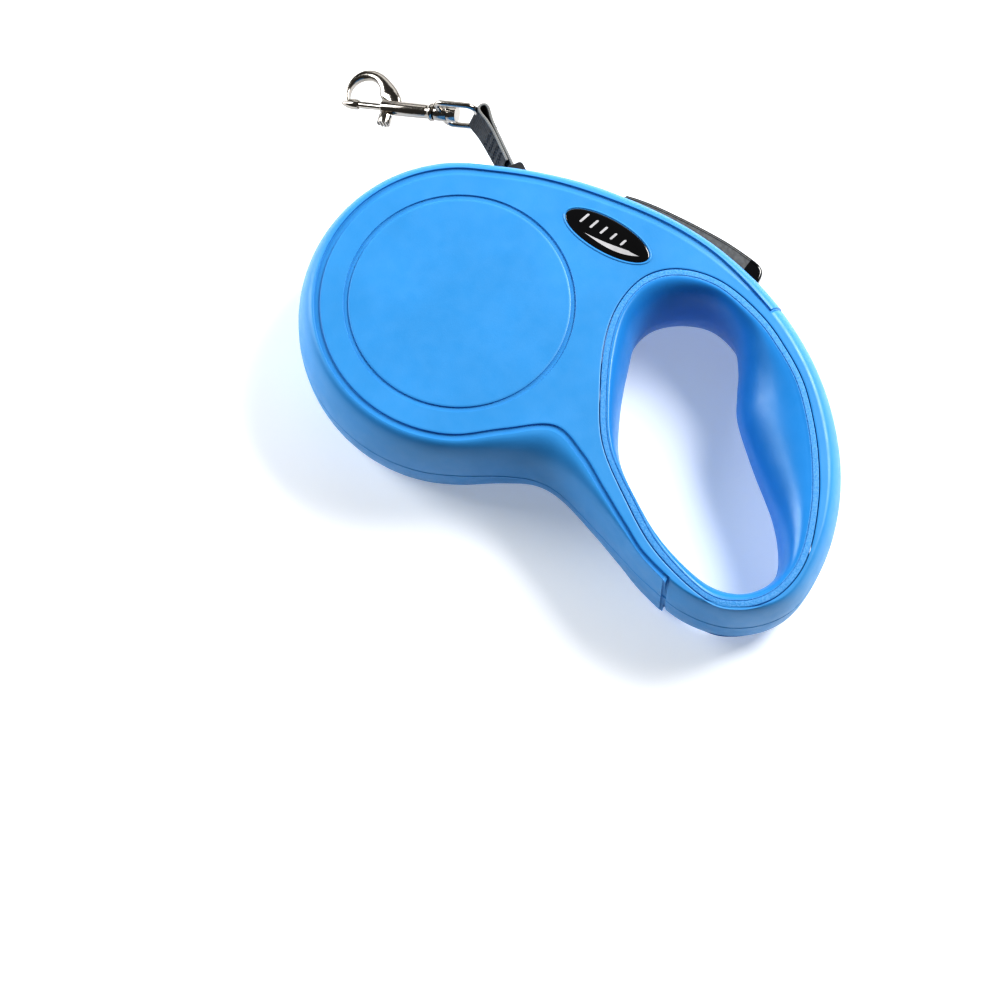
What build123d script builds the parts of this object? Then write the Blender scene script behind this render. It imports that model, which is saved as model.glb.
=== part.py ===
from build123d import *
from math import cos, hypot, radians, sin
import os

# Retractable dog leash: moulded case with a hand opening, a sprung tape spool with a ratchet
# brake, and a trigger snap at the end of the tape. Millimetres, +Z out of the front face.
# The origin is on the spool axis at the flat rear face.

os.makedirs("parts", exist_ok=True)

# Case
HALF = 18.0                 # rear face to parting plane, and parting plane to front face
WALL = 2.4
DRUM_R = 50.0
DRUM_START, DRUM_END = 116.0, 306.0     # degrees between which the rim is the drum's circle
DRUM_POINTS = 14            # steps along it
SHOULDER = 7.4              # width of the rounded shoulder round the drum
SHOULDER_TIP = 4.0          # the same at the end of the handle
TAPER_START, TIP_X = 40.0, 137.0
TAPER = 5.0                 # each half is this much thinner at the end of the handle
HANDLE_RIM = [
    (40, -32.9), (49, -28.2), (58, -27.2), (72, -29.9), (95, -34.9), (110, -36), (124, -31.8),
    (134, -21.8), (137, -9), (133, 11), (122, 30.5), (104, 47.5), (82, 59), (58, 64.6),
    (36, 64.8), (12, 59.8), (-6, 53),
]
SHOULDER_STEPS = (0, 30, 55, 82)
DISC_GROOVE_R, GROOVE_W, GROOVE_DEPTH = 34.7, 1.3, 0.7

# Hand opening: pairs of (edge on the face, edge at the parting plane), anticlockwise
OPENING = [
    ((114, -31.6), (110, -25.8)), ((124, -27.8), (120, -23.2)), ((130.2, -20), (125.4, -17)),
    ((132, -10), (126.3, -10.5)), ((130, 0), (122.5, -3.6)), ((124, 12.5), (114.5, 4.4)),
    ((117, 22.7), (101, 13.8)), ((109, 31.8), (88.5, 23.6)), ((98.8, 40.7), (83.2, 30.8)),
    ((88, 46.4), (79, 37.5)), ((76.5, 50.4), (73, 43.7)), ((61, 52), (64, 46.3)),
    ((49, 48), (55.5, 42)), ((42, 40), (49.2, 35)), ((40.6, 29), (47.8, 27)),
    ((44, 17), (50.7, 19)), ((52, 3), (58, 4)), ((63, -11), (67.6, -9.3)),
    ((79, -21), (81, -18.7)), ((95, -28.5), (95, -23.8)),
]
BAND = 0.9                  # half width of the flat band round the opening on each face
LINER_T = 2.0
WALL_STEPS = (0, 0.45, 0.78, 1.0)
WALL_POWER = 2.2

# Spool and tape
AXLE_R, RUN_FIT = 3.0, 0.05
CORE_R, FLANGE_R, ROLL_R = 12.5, 38.5, 34.6
TAPE_W, TAPE_LOW = 14.0, 11.0
LEAD_T = 0.9                # thickness of the tape where it leaves the roll
EXIT_ANGLE = 151.5          # direction in which the tape leaves, degrees
LEAD_R = 35.4               # distance of the straight tape from the spool axis
OUTLET_AT, OUTLET_LENGTH = 33.3, 8.0    # along the straight tape
TEETH, TOOTH_ROOT_R = 24, 35.5
CUP_R, CUP_WALL = 27.0, 1.5

# Brake
PIVOT = (13.5, 51.0)
PIVOT_R = 1.5
PAWL_ANGLE = 33.0
BUTTON_LOW, BUTTON_HIGH = 11.6, 24.4
BUTTON_OUTLINE = [
    (17.2, 58.3), (67.8, 61.57), (67.9, 64.5), (66.6, 67.2), (65.0, 67.9), (61.5, 68.1),
    (50, 67.75), (40, 66.9), (28, 65.4), (18.2, 63.4), (17.2, 62.6),
]

# Snap, in its own frame: +X from the yoke's crossbar towards the hook, +Z along the crossbar
LOOP_RUN = 60.3             # from the tangent point on the roll to the crossbar
SNAP_AZIMUTH, SNAP_PITCH = 202.5, 16.0
WIRE_R, YOKE_HALF, YOKE_LEN = 0.95, 7.6, 13.0
BOSS_R, BOSS_START, BOSS_END = 2.6, 10.8, 15.0
STEM_R = 1.7
BARREL_R, BORE_R, BARREL_START, BARREL_END = 2.4, 1.6, 16.8, 33.4
EYE_AT, EYE_R, HOOK_T = (40.0, -3.8), 5.0, 3.2
BOLT_R, BOLT_TIP, KNOB_AT, BOLT_TRAVEL = 1.1, 43.6, 31.2, 8.6

# Fasteners
SCREWS = [(-40.9, -14.9), (21.8, -37.7), (-32.2, 29.3), (77.5, 55.6), (111.8, 34.7), (72, -23.7)]
SCREW_R, HEAD_R, HEAD_T, HEAD_DEPTH = 1.25, 2.3, 2.0, 4.2
PIN_FIT = 0.02              # radial, for pins pressed into the case

# Badge
BADGE_AT, BADGE_TURN = (23.8, 44.5), 4.5
BADGE_A, BADGE_B = 14.6, 5.3


def save(shape, name):
    export_step(shape, f"parts/{name}.step")


def on_circle(angle, radius, z=0.0):
    return Vector(radius * cos(radians(angle)), radius * sin(radians(angle)), z)


def tube(outer, inner, low, high, at=(0, 0)):
    body = extrude(Circle(outer) - Circle(inner), high - low)
    return Pos(at[0], at[1], low) * body


def rod(radius, low, high, at=(0, 0)):
    return Pos(at[0], at[1], low) * extrude(Circle(radius), high - low)


def plate(points, low, high):
    return Pos(0, 0, low) * extrude(make_face(Polyline(*points, close=True)), high - low)


def front(shape):
    """Place a half made on the parting plane as the front half."""
    return Pos(0, 0, HALF) * shape


def rear(shape):
    return Pos(0, 0, HALF) * mirror(shape, about=Plane.XY)


def handle_share(x):
    return min(max((x - TAPER_START) / (TIP_X - TAPER_START), 0.0), 1.0)


def half_height(x):
    """Half thickness of the case, thinner towards the end of the handle."""
    return HALF - TAPER * handle_share(x) ** 1.4


# ---------------------------------------------------------------- case
def smooth_loop(points, per_span):
    """Points of a smooth closed curve through the given ones, per_span to each gap between them."""
    loop, count = [], len(points)
    for i in range(count):
        p0, p1, p2, p3 = (points[(i + k) % count] for k in (-1, 0, 1, 2))
        for k in range(per_span):
            t = k / per_span
            loop.append(tuple(
                b + 0.5 * t * (c - a + t * (2 * a - 5 * b + 4 * c - d + t * (3 * (b - c) + d - a)))
                for a, b, c, d in zip(p0, p1, p2, p3)))
    return loop


def rim_path():
    """Points of the outline at the parting plane, anticlockwise: the drum, then the handle."""
    step = (DRUM_END - DRUM_START) / DRUM_POINTS
    drum = [on_circle(DRUM_START + i * step, DRUM_R) for i in range(DRUM_POINTS + 1)]
    return smooth_loop([(point.X, point.Y) for point in drum] + HANDLE_RIM, 2)


def rim_wire(inset, out, z_at):
    """Closed outline of the case, moved in by inset plus the share out of the shoulder."""
    path = rim_path()
    points = []
    for before, (x, y), after in zip(path[-1:] + path, path, path[1:] + path[:1]):
        dx, dy = after[0] - before[0], after[1] - before[1]
        width = SHOULDER + (SHOULDER_TIP - SHOULDER) * handle_share(x)
        move = (inset + width * out) / hypot(dx, dy)
        points.append(Vector(x - dy * move, y + dx * move, z_at(x)))
    return Polyline(*points, close=True).wire()


def rim_solid(inset, roof):
    """Half of the case's outside, or of its inside, up to past the face."""
    wires = []
    for step in SHOULDER_STEPS:
        share, height = 1 - cos(radians(step)), sin(radians(step))
        wires.append(rim_wire(inset, share, lambda x: height * (half_height(x) - roof)))
    wires.append(rim_wire(inset, 1.0, lambda x: HALF + 4))
    return Solid.make_loft(wires, ruled=True)


def above_face(roof):
    """Everything above the face, which falls away along the handle."""
    steps = [TAPER_START + i * (TIP_X + 8 - TAPER_START) / 10 for i in range(11)]
    line = [(x, half_height(x) - roof) for x in steps]
    outline = [(-90, HALF - roof), *line, (TIP_X + 20, line[-1][1]), (TIP_X + 20, 40), (-90, 40)]
    face = make_face(Polyline(*[Vector(x, 0, z) for x, z in outline], close=True))
    return extrude(face, 120, dir=(0, 1, 0), both=True)


def opening_wire(at_face, at_middle, bulge, z_at):
    """Loop of the opening: bulge 0 is the edge on the face and 1 the edge at the parting plane."""
    points = []
    for gx, gy, hx, hy in smooth_loop([on_face + middle for on_face, middle in OPENING], 2):
        width = hypot(gx - hx, gy - hy)
        move = at_face * (1 - bulge) + (at_middle - width) * bulge
        points.append(Vector(gx + (gx - hx) / width * move, gy + (gy - hy) / width * move, z_at(gx)))
    return Polyline(*points, close=True).wire()


def opening_void(at_face, at_middle):
    """Half of the hand opening: narrowest at the parting plane, widening to the face."""
    wires = []
    for step in WALL_STEPS:
        bulge = 1 - step ** WALL_POWER
        wires.append(opening_wire(at_face, at_middle, bulge, lambda x: step * half_height(x)))
    wires.append(opening_wire(at_face, at_middle, 0.0, lambda x: HALF + 6))
    return Solid.make_loft(wires, ruled=True)


def exit_frame():
    """Frame on the straight tape: +X out of the case, origin nearest the spool axis."""
    foot = on_circle(EXIT_ANGLE - 90, LEAD_R)
    return Plane(origin=foot, x_dir=on_circle(EXIT_ANGLE, 1), z_dir=(0, 0, 1)).location


def on_exit(run, side):
    place = exit_frame() * Pos(run, side, 0)
    return place.position.X, place.position.Y


GUIDE_AT = on_exit(25.0, -(LEAD_T / 2 + 0.35 + PIVOT_R))


def boss(radius, low, at, bore, bore_end):
    """Post from the inside of the face down to low, and the blind hole up into it."""
    return rod(radius, low, HALF - 1, at), rod(bore, low - 1, bore_end, at)


def outlet_block(grow):
    size = (OUTLET_LENGTH + 2 * grow, 7 + 2 * grow, 10 + grow)
    return exit_frame() * Pos(OUTLET_AT, 0, 0) * Box(*size, align=(Align.CENTER, Align.CENTER, Align.MIN))


def badge(grow, thick):
    oval = extrude(Ellipse(BADGE_A + grow, BADGE_B + grow), thick)
    return Pos(*BADGE_AT, 0) * Rot(0, 0, BADGE_TURN) * oval


def shell_features(is_front):
    """Posts to leave standing in one half, and holes to cut in it."""
    posts, holes = [], []
    fixed = [
        boss(7.0, 14.0 if is_front else 14.8, (0, 0), AXLE_R + PIN_FIT, 17.0),
        boss(3.4, 13.3 if is_front else 12.5, PIVOT, PIVOT_R + PIN_FIT, 16.8),
        boss(3.0, 9.0, GUIDE_AT, PIVOT_R + PIN_FIT, 16.8),
    ]
    for post, hole in fixed:
        posts.append(post)
        holes.append(hole)
    for at in SCREWS:
        face = half_height(at[0])
        posts.append(rod(3.0, 0, HALF, at))
        holes.append(rod(SCREW_R + PIN_FIT, -1, 10 if is_front else HALF, at))
        if not is_front:
            posts.append(rod(4.2, 11.0, HALF, at))
            holes.append(rod(HEAD_R + 0.15, face - HEAD_DEPTH, HALF + 1, at))
    holes.append(Pos(0, 0, HALF - GROOVE_DEPTH) * extrude(
        Circle(DISC_GROOVE_R + GROOVE_W / 2) - Circle(DISC_GROOVE_R - GROOVE_W / 2), 5))
    holes.append(outlet_block(0.1))
    holes.append(plate([(13.5, 57.2), (69.5, 57.2), (69.5, 80), (13.5, 80)], -1, 7))
    if is_front:
        holes.append(Pos(0, 0, HALF - 1) * badge(0.1, 3))
    return posts, holes


def make_shells():
    block = rim_solid(0, 0) - above_face(0) - opening_void(BAND, LINER_T)
    inside = rim_solid(WALL, WALL) - above_face(WALL) - opening_void(BAND + WALL, LINER_T + WALL)
    for name, place, is_front in (("front_shell", front, True), ("rear_shell", rear, False)):
        posts, holes = shell_features(is_front)
        save(place(wall_between(block, inside - posts) - holes), name)


def wall_between(block, hollow):
    """The wall left round a hollow that opens only on the parting plane, joined from faces."""
    outer, inner = block.faces().sort_by(Axis.Z), hollow.faces().sort_by(Axis.Z)
    joint = outer[0] - inner[0]
    return Solid(Shell(outer[1:] + inner[1:] + joint.faces()))


def make_liner():
    gap = 0.4
    half = opening_void(BAND - gap, LINER_T - gap) - opening_void(-BAND, 0) - above_face(0.3)
    save(front(half) + rear(half), "grip_liner")


def make_case_fittings():
    plaque = fillet(badge(0, 1.3).edges().group_by(Axis.Z)[-1], 0.3)
    save(Pos(0, 0, 2 * HALF - 1) * plaque, "front_badge")
    half = outlet_block(0)
    nozzle = half + mirror(half, about=Plane.XY)
    nozzle = fillet(nozzle.edges().filter_by(Axis.Z), 1.2)
    slot = exit_frame() * Pos(OUTLET_AT, 0, 0) * Box(20, 3.4, 16)
    save(Pos(0, 0, HALF) * (nozzle - slot), "tape_outlet")
    save(rod(PIVOT_R, 1.3, 34.7, GUIDE_AT), "tape_guide_pin")
    save(rod(PIVOT_R, 1.3, 34.7, PIVOT), "brake_pivot_pin")
    screws = []
    for at in SCREWS:
        low = HALF - half_height(at[0]) + HEAD_DEPTH - HEAD_T
        head = rod(HEAD_R, low, low + HEAD_T, at)
        drive = Pos(at[0], at[1], low) * extrude(RegularPolygon(1.1, 6), 1.2)
        screws.append(head - drive + rod(SCREW_R, low + 1.5, 27, at))
    save(Compound(children=screws), "case_screws")


# ---------------------------------------------------------------- spool, all on the Z axis
def make_spool():
    axle = rod(AXLE_R, 1.2, 34.8) + rod(5.5, 5.1, 9.3)
    axle -= Pos(5, 0, 7.2) * Box(4, 0.8, 6)
    save(axle, "spool_axle")
    save(tube(6.5, AXLE_R + 0.06, 3.25, 3.65) + tube(6.5, AXLE_R + 0.06, 31.5, 31.9), "thrust_washers")

    low_flange = tube(FLANGE_R, 5.0, 9.7, 10.8)
    cup = tube(CUP_R, CUP_R - CUP_WALL, 3.9, 9.7)
    save(low_flange + cup + tube(CORE_R, 5.0, 10.8, 25.2), "spool")
    save(tube(CUP_R - CUP_WALL - 0.05, 6.2, 3.9, 4.8), "spring_cover")
    bush = tube(4.98, AXLE_R + RUN_FIT, 0, 5)
    save(Pos(0, 0, 10.8) * bush + Pos(0, 0, 26) * bush, "spool_bushes")
    save(tube(ROLL_R, CORE_R + 0.05, TAPE_LOW, TAPE_LOW + TAPE_W), "tape_roll")
    make_ratchet()
    make_mainspring()


def make_ratchet():
    """Front flange with its saw teeth. The steep faces meet the pawl as the tape is pulled out."""
    pitch = 360 / TEETH
    first = PAWL_ANGLE - 2.3
    outline = []
    for i in range(TEETH):
        outline.append(on_circle(first + i * pitch, FLANGE_R))
        outline.append(on_circle(first + i * pitch + 0.2, TOOTH_ROOT_R))
    ring = extrude(make_face(Polyline(*outline, close=True)) - Circle(TOOTH_ROOT_R - 2.5), 4)
    body = tube(FLANGE_R, 5.0, 25.25, 26.4) + Pos(0, 0, 26.4) * ring + tube(8.5, 5.0, 26.4, 31.2)
    save(body, "ratchet_flange")


def make_mainspring():
    """Flat spiral spring, wound outwards from the arbor on the axle to the wall of the cup."""
    inner, outer, turns, strip = 6.2, CUP_R - CUP_WALL - 0.8, 11, 0.5
    steps = turns * 12

    def side(offset):
        grow = (outer - inner) / steps
        return [on_circle(i * 30, inner + offset + grow * i) for i in range(steps + 1)]

    near, far = Spline(*side(0)), Spline(*side(strip))
    ends = [Line(near @ 0, far @ 0), Line(near @ 1, far @ 1)]
    save(Pos(0, 0, 5.2) * extrude(make_face([near, far, *ends]), 4.1), "mainspring")


# ---------------------------------------------------------------- brake
def make_brake():
    """Lever under the button. Its pawl arm runs along a tangent of the ratchet."""
    tip_r = FLANGE_R + 0.8
    arm_dir = Vector(sin(radians(PAWL_ANGLE)), -cos(radians(PAWL_ANGLE)))
    out = on_circle(PAWL_ANGLE, 1)

    def at(along, away):
        point = out * away + arm_dir * along
        return point.X, point.Y

    reach = 3.0
    arm = plate([at(-36, 41.6), at(-1.2, 41.6), at(-0.6, tip_r), at(0.3, tip_r), at(1.7, 41.6),
                 at(reach, 41.6), at(reach, 45.6), at(-36, 46.5)], 26.9, 30.1)
    beam = plate([(12.8, 48.0), (30, 53.6), (62.5, 57.6), (63, 60.9), (18, 57.99), (13, 54.6)], 13, 23)
    hub = rod(3.7, 8.6, 25, PIVOT) + rod(2.9, 25, 31.0, PIVOT)
    bore = rod(PIVOT_R + RUN_FIT, 0, 36, PIVOT)
    save(hub + arm + beam - bore, "brake_lever")

    coil = [Pos(0, 0, 6.0 + 0.8 * i) * Torus(2.6, 0.35) for i in range(3)]
    legs = Pos(PIVOT[0] + 4, PIVOT[1] - 2.6, 6.0) * Rot(0, 90, 0) * Cylinder(0.35, 8)
    spring = Pos(*PIVOT, 0) * (coil[0] + coil[1] + coil[2])
    post = tube(2.95, 2.25, 6.0, 7.6, PIVOT)
    save(spring + post + legs, "lever_spring")

    save(plate(BUTTON_OUTLINE, BUTTON_LOW, BUTTON_HIGH), "thumb_button")


# ---------------------------------------------------------------- tape end and snap
def snap_frame():
    azimuth, pitch = radians(SNAP_AZIMUTH), radians(SNAP_PITCH)
    forward = (cos(azimuth) * cos(pitch), sin(azimuth) * cos(pitch), -sin(pitch))
    upward = (cos(azimuth) * sin(pitch), sin(azimuth) * sin(pitch), cos(pitch))
    x, y = on_exit(LOOP_RUN, 0)
    return Plane(origin=(x, y, HALF), x_dir=forward, z_dir=upward).location


def along(radius, start, end, y=0.0, z=0.0):
    """Round bar along the snap's own X axis."""
    return Pos(start, y, z) * Rot(0, 90, 0) * extrude(Circle(radius), end - start)


def make_lead():
    single = exit_frame() * Pos(1.5, 0, HALF) * Box(
        LOOP_RUN - 4, LEAD_T, 13.4, align=(Align.MIN, Align.CENTER, Align.CENTER))
    double = exit_frame() * Pos(42, 0, HALF) * Box(
        LOOP_RUN - 44.5, 1.9, 13.4, align=(Align.MIN, Align.CENTER, Align.CENTER))
    loop, eye = Cylinder(3.3, 12.6), Cylinder(2.2, 20)
    save(single + double + snap_frame() * loop - snap_frame() * eye, "tape_lead")


def make_yoke():
    path = (Plane.XZ * Pos(YOKE_LEN / 2, 0) * RectangleRounded(YOKE_LEN, 2 * YOKE_HALF, 2.6)).wire()
    start = Plane(origin=path @ 0, z_dir=path % 0)
    ring = sweep(start * Circle(WIRE_R), path=path)
    body = ring + along(BOSS_R, BOSS_START, BOSS_END) - along(STEM_R + RUN_FIT, 5, 20)
    save(snap_frame() * body, "swivel_yoke")
    stem = along(STEM_R, 9, 17.0) + along(BOSS_R, 7.6, BOSS_START - 0.2)
    save(snap_frame() * stem, "swivel_stem")


def make_snap():
    nose = BOLT_TIP + 0.5
    outline = [
        ThreePointArc((26.5, -1.0), (31.2, -8.4), (39.5, -12.3)),
        ThreePointArc((39.5, -12.3), (45.0, -10.2), (47.0, -5.0)),
        Polyline((47.0, -5.0), (47.2, 0.2), (45.2, 2.2), (nose - 0.6, 2.2), (nose - 0.6, -1.0),
                 (26.5, -1.0)),
    ]
    blade = make_face(outline) - Pos(*EYE_AT) * Circle(EYE_R)
    mouth = Pos((BARREL_END + nose) / 2, 0) * Rectangle(nose - BARREL_END - 0.2, 5)
    hook = Pos(0, 0, -HOOK_T / 2) * extrude(blade - mouth, HOOK_T)
    body = hook + along(BARREL_R, BARREL_START - 0.5, BARREL_END) + along(2.9, 15.3, BARREL_START)
    body -= along(STEM_R, 15, 17.0)
    body -= along(BORE_R, 17.6, BARREL_END + 0.2)
    body -= Pos((KNOB_AT - BOLT_TRAVEL - 1 + KNOB_AT + 1) / 2, 2, 0) * Box(BOLT_TRAVEL + 2, 4, 1.9)
    save(snap_frame() * body, "snap_hook")

    bolt = along(BOLT_R, KNOB_AT, BOLT_TIP) + along(BORE_R - RUN_FIT, KNOB_AT - 1.4, KNOB_AT + 1.4)
    seat = Pos(KNOB_AT, 0.6, 0) * Rot(-90, 0, 0) * extrude(Circle(0.75), 4.4)
    save(snap_frame() * (bolt - seat), "snap_bolt")
    knob = Pos(KNOB_AT, 3.0, 0) * Rot(-90, 0, 0) * extrude(Circle(2.2), 3.0)
    ribs = [Pos(KNOB_AT + d, 6.0, 0) * Box(0.5, 0.8, 5) for d in (-1.5, -0.5, 0.5, 1.5)]
    save(snap_frame() * (knob - ribs + seat), "bolt_knob")
    coils = along(1.35, 17.8, 20.9) - along(0.95, 17, 22)
    save(snap_frame() * coils, "bolt_spring")


make_shells()
make_liner()
make_case_fittings()
make_spool()
make_brake()
make_lead()
make_yoke()
make_snap()
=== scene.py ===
"""Looks of the retractable leash: moulded shells, liner, badge, button, strap and trigger snap,
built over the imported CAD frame. Shapes are written in millimetres and scaled once, in add_piece."""
import bmesh
import bpy
from math import asin, cos, hypot, pi, radians, sin
from mathutils import Matrix, Vector, geometry


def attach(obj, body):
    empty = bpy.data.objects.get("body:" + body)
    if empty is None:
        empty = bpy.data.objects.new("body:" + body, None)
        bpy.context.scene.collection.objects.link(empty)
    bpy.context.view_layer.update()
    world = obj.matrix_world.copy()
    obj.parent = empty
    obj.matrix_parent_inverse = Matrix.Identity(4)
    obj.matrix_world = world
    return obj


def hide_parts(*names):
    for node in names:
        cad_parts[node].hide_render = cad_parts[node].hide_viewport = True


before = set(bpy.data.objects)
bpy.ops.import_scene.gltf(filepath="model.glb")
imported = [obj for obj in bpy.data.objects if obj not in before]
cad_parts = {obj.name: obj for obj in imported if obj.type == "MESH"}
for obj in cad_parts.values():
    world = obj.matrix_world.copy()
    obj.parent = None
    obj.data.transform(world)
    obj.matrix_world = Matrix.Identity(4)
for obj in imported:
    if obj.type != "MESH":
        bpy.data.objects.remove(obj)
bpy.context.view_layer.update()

MM = 0.001

# Case: same driving sizes as the CAD, in millimetres
HALF = 18.0
DRUM_R, DRUM_INNER_R = 50.0, 42.6
TAPER_START, TIP_X, TAPER = 40.0, 137.0, 5.0
EXIT_TOP, EXIT_LOW = (80.4, 59.6), (102.6, -35.7)   # where the border groove runs off the case
# Outline at the parting plane and the inner edge of the rounded shoulder, anticlockwise
BORDER = [
    ((40, -32.9), (35.2, -24.7)), ((49, -28.2), (46.9, -15.0)), ((58, -27.2), (59.2, -17.2)),
    ((72, -29.9), (71.2, -22.6)), ((84, -32.6), (82.6, -27.7)), ((95, -34.9), (93.4, -31.9)),
    ((110, -36), (109.7, -33.6)), ((124, -31.8), (122.9, -29.7)), ((134, -21.8), (131.9, -20.7)),
    ((137, -9), (133.9, -9.3)), ((133, 11), (128.8, 9.7)), ((122, 30.5), (117.6, 27.5)),
    ((104, 47.5), (100.4, 43.2)), ((82, 59), (79.8, 53.2)), ((58, 64.6), (57.4, 57.2)),
    ((36, 64.8), (36.6, 56.8)), ((12, 59.8), (14.3, 52.1)), ((-6, 53), (-3.2, 46.2)),
]
GROOVE_W, GROOVE_DEPTH = 2.1, 0.75       # channel outside the face's edge
# Section of that channel: (share of its width inwards, share of its depth)
GROOVE_PROFILE = [(-1.0, 0.1), (-0.93, 0.95), (-0.2, 1.0), (-0.1, 0.9), (-0.04, 0.1), (0.05, 0.0),
                  (0.3, 0.0)]
NARROWEST, NARROW_RUN = 0.4, 30.0        # share of its width where it leaves the top, and the run to full
EXIT_SLIT, SLIT_EDGE = 0.5, 0.25         # half width of its slit over the top edge, and of its sloped sides
SHOULDER_STEPS = 18                      # rings from the parting plane up to the channel
LIP_IN, LIP_EDGE = 2.2, 0.45             # how far the rim's inside lip turns in, and its edge
PARTING_GAP, PARTING_BEVEL = 0.03, 0.3   # between the halves, and the bevel beside it
# Disc on the drum, and the section of the groove round it: (beyond the radius, below the face)
DISC_R, DISC_POINTS = 34.9, 300
DISC_PROFILE = [(-1.6, 0), (-1.0, 0), (-0.85, 0.08), (-0.75, 0.55), (0.6, 0.55), (0.7, 0.08),
                (0.8, 0), (1.3, 0)]
FACE_SPACING, DISC_SPACING = 2.4, 3.0    # triangles that fill the flat faces
# Hand opening: edge on the face and edge at the parting plane, anticlockwise
OPENING = [
    ((114, -31.6), (110, -25.8)), ((124, -27.8), (120, -23.2)), ((130.2, -20), (125.4, -17)),
    ((132, -10), (126.3, -10.5)), ((130, 0), (122.5, -3.6)), ((124, 12.5), (114.5, 4.4)),
    ((117, 22.7), (101, 13.8)), ((109, 31.8), (88.5, 23.6)), ((98.8, 40.7), (83.2, 30.8)),
    ((88, 46.4), (79, 37.5)), ((76.5, 50.4), (73, 43.7)), ((61, 52), (64, 46.3)),
    ((49, 48), (55.5, 42)), ((42, 40), (49.2, 35)), ((40.6, 29), (47.8, 27)),
    ((44, 17), (50.7, 19)), ((52, 3), (58, 4)), ((63, -11), (67.6, -9.3)),
    ((79, -21), (81, -18.7)), ((95, -28.5), (95, -23.8)),
]
# Sections round the opening: (outside its edge, below the face) on the face and on the liner's band
EDGE_PROFILE = [(1.8, 0), (1.42, 0), (1.28, 0.06), (1.22, 0.25), (1.22, 1.8)]
BAND_PROFILE = [(0.97, 1.8), (0.97, 0.3), (0.88, 0.14), (0.62, 0.08), (-0.85, 0.08), (-0.93, 0.3),
                (-1.08, 0.3), (-1.18, 0.1), (-1.35, 0.09)]
LIP_W = 1.6                              # from the opening's edge to where the wall starts
WALL_STEPS = [1, 0.9985, 0.995, 0.985, 0.965, 0.94, 0.91, 0.87, 0.82, 0.76, 0.7, 0.6, 0.5, 0.4, 0.3,
              0.2, 0.1, 0.03, 0]        # shares of the half height
SCREWS = [(-40.9, -14.9), (21.8, -37.7), (-32.2, 29.3), (77.5, 55.6), (111.8, 34.7), (72, -23.7)]
SCREW_SINK, SCREW_HOLE_R, SCREW_CLEAR_R, SCREW_POINTS = 4.2, 2.45, 2.9, 48

# Badge: place, turn, half axes, and sections of its rim and plate as (grown by, above the face)
BADGE_AT, BADGE_TURN, BADGE_A, BADGE_B = (23.8, 44.5), 4.5, 14.6, 5.3
BADGE_RIM = [(0.3, -0.6), (0.3, 0.12), (0.4, 0.22), (0.55, 0.27), (0.75, 0.24), (0.9, 0.12), (1.0, -0.1)]
BADGE_PLATE = [(0.1, -0.8), (0.1, 0.0), (0.0, 0.1), (-0.25, 0.17), (-0.8, 0.2), (-2.0, 0.24),
               (-3.6, 0.27), (-4.8, 0.28)]
STROKES = 5

# Thumb button: outline, and its lower edge's section as (inset, height)
BUTTON_SLOT, SLOT_HALF, SLOT_FLAT = (12.7, 70.4), 7.0, 0.8
BUTTON = [
    (17.6, 58.9), (30, 59.5), (45, 60.3), (60, 61.2), (67.4, 61.8), (68.0, 63.2), (67.8, 65.4), (66.9, 67.3),
    (65.2, 68.3), (62.5, 68.7), (56, 68.9), (50, 68.7), (40, 67.7), (28, 65.9), (20, 63.9), (17.9, 62.6),
]
BUTTON_EDGE = [(0.0, 12.8), (0.02, 12.3), (0.22, 11.85), (0.7, 11.6), (1.0, 11.6), (1.1, 11.75)]
SIDE_PANEL_END = 62                      # the button's end beyond this is gloss on its sides too

# Strap: runs straight out at this angle, this far from the spool's axis
EXIT_ANGLE, LEAD_R = 151.5, 35.4
OUTLET_HALF_W, OUTLET_HALF_H = 3.3, 9.6
STRAP_ROUTE = [
    (4, 0.0), (12, 0.0), (20, 0.0), (28, 0.0), (34, -0.45), (40, -0.5), (46, -0.5), (51, -0.5),
    (54.0, -0.6), (56.5, -0.85), (58.7, -1.3), (60.4, -1.5), (61.5, -1.1), (61.95, 0), (61.5, 1.1),
    (60.4, 1.5), (58.7, 1.3), (56.5, 0.85), (54.0, 0.6), (51, 0.5), (45, 0.5), (41.2, 0.55),
]
STRAP_HALF, STRAP_THICK = 6.7, 0.92
# Stitches: rows from a run along the strap, columns across it, staggered by turns, on both sides
STITCH_ROWS, STITCH_START, STITCH_ROW_GAP, STITCH_STAGGER = 4, 44.5, 2.6, 0.35
STITCH_COLUMNS, STITCH_GAP, STITCH_SIDE, STITCH_R = 11, 1.1, 1.03, 0.16
LOOSE_THREAD = [(52.6, -0.9, 6.6), (53.2, -1.4, 7.3), (54.4, -1.9, 7.5), (55.2, -2.9, 7.0),
                (54.6, -3.6, 6.4)]
LOOSE_THREAD_R = 0.11

# Snap frame: crossbar centre, and the directions of its X, Y and Z
SNAP_AT = Vector((-36.101, 59.883, 18.0))
AZIMUTH, PITCH = radians(202.5), radians(16.0)
SNAP_X = Vector((cos(AZIMUTH) * cos(PITCH), sin(AZIMUTH) * cos(PITCH), -sin(PITCH)))
SNAP_Y = Vector((-sin(AZIMUTH), cos(AZIMUTH), 0.0))
SNAP_Z = Vector((cos(AZIMUTH) * sin(PITCH), sin(AZIMUTH) * sin(PITCH), cos(PITCH)))
EYE_AT = (40.0, -3.8)
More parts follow.
